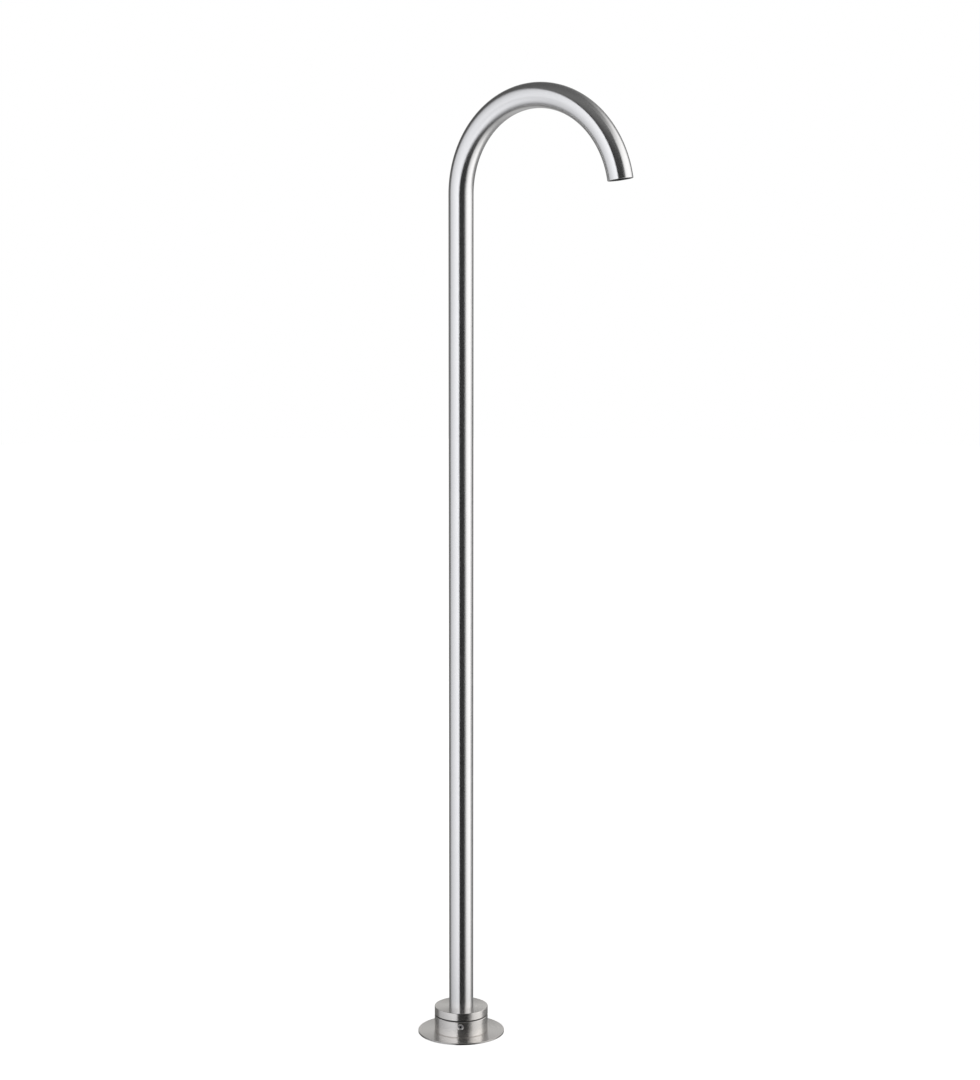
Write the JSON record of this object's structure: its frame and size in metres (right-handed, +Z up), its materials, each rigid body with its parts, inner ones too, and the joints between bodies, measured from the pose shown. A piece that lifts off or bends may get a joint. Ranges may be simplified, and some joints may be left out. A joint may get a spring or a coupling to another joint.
{
  "type": "floor-standing basin spout",
  "caption": "Tall floor-standing basin spout: a brushed steel tube arched over at the top, turning on a round base screwed to the floor over its own water inlet.",
  "frame": {"origin": "centre of the inlet's mouth, on the riser's axis, in the plane of the finished floor", "axes": "+Z up along the riser, +X the way the spout reaches at rest, +Y to its left"},
  "size_m": [0.2781, 0.1, 1.0899],
  "materials": {
    "brushed_steel": "satin, brushed round the tube",
    "bright_steel": "plain",
    "dark_steel": "turned",
    "brass": "turned",
    "black_plastic": "satin",
    "rubber_seal": "matt",
    "grey_plastic": "moulded",
    "white_plastic": "moulded"
  },
  "bodies": {
    "base": {"floor_disc": "brushed_steel", "base_ring": "brushed_steel", "floor_seal": "rubber_seal", "inlet_hub": "brass", "hub_gasket": "rubber_seal", "strainer_washer": "rubber_seal", "strainer_mesh": "bright_steel", "grub_screw": "dark_steel", "swivel_bush": "black_plastic"},
    "spout": {"spout_tube": "brushed_steel", "collar": "brushed_steel", "spigot": "brass", "o_ring_lower": "rubber_seal", "o_ring_upper": "rubber_seal", "outlet_sleeve": "black_plastic", "aerator_seal": "rubber_seal", "aerator_housing": "black_plastic", "aerator_grid": "grey_plastic", "aerator_diffuser": "white_plastic", "aerator_regulator": "white_plastic", "aerator_sieve": "white_plastic"}
  },
  "joints": [
    {"name": "spout_swivel", "type": "hinge", "parent": "base", "child": "spout", "pos_m": [0, 0, 0], "axis": [0, 0, 1], "continuous": true}
  ]
}
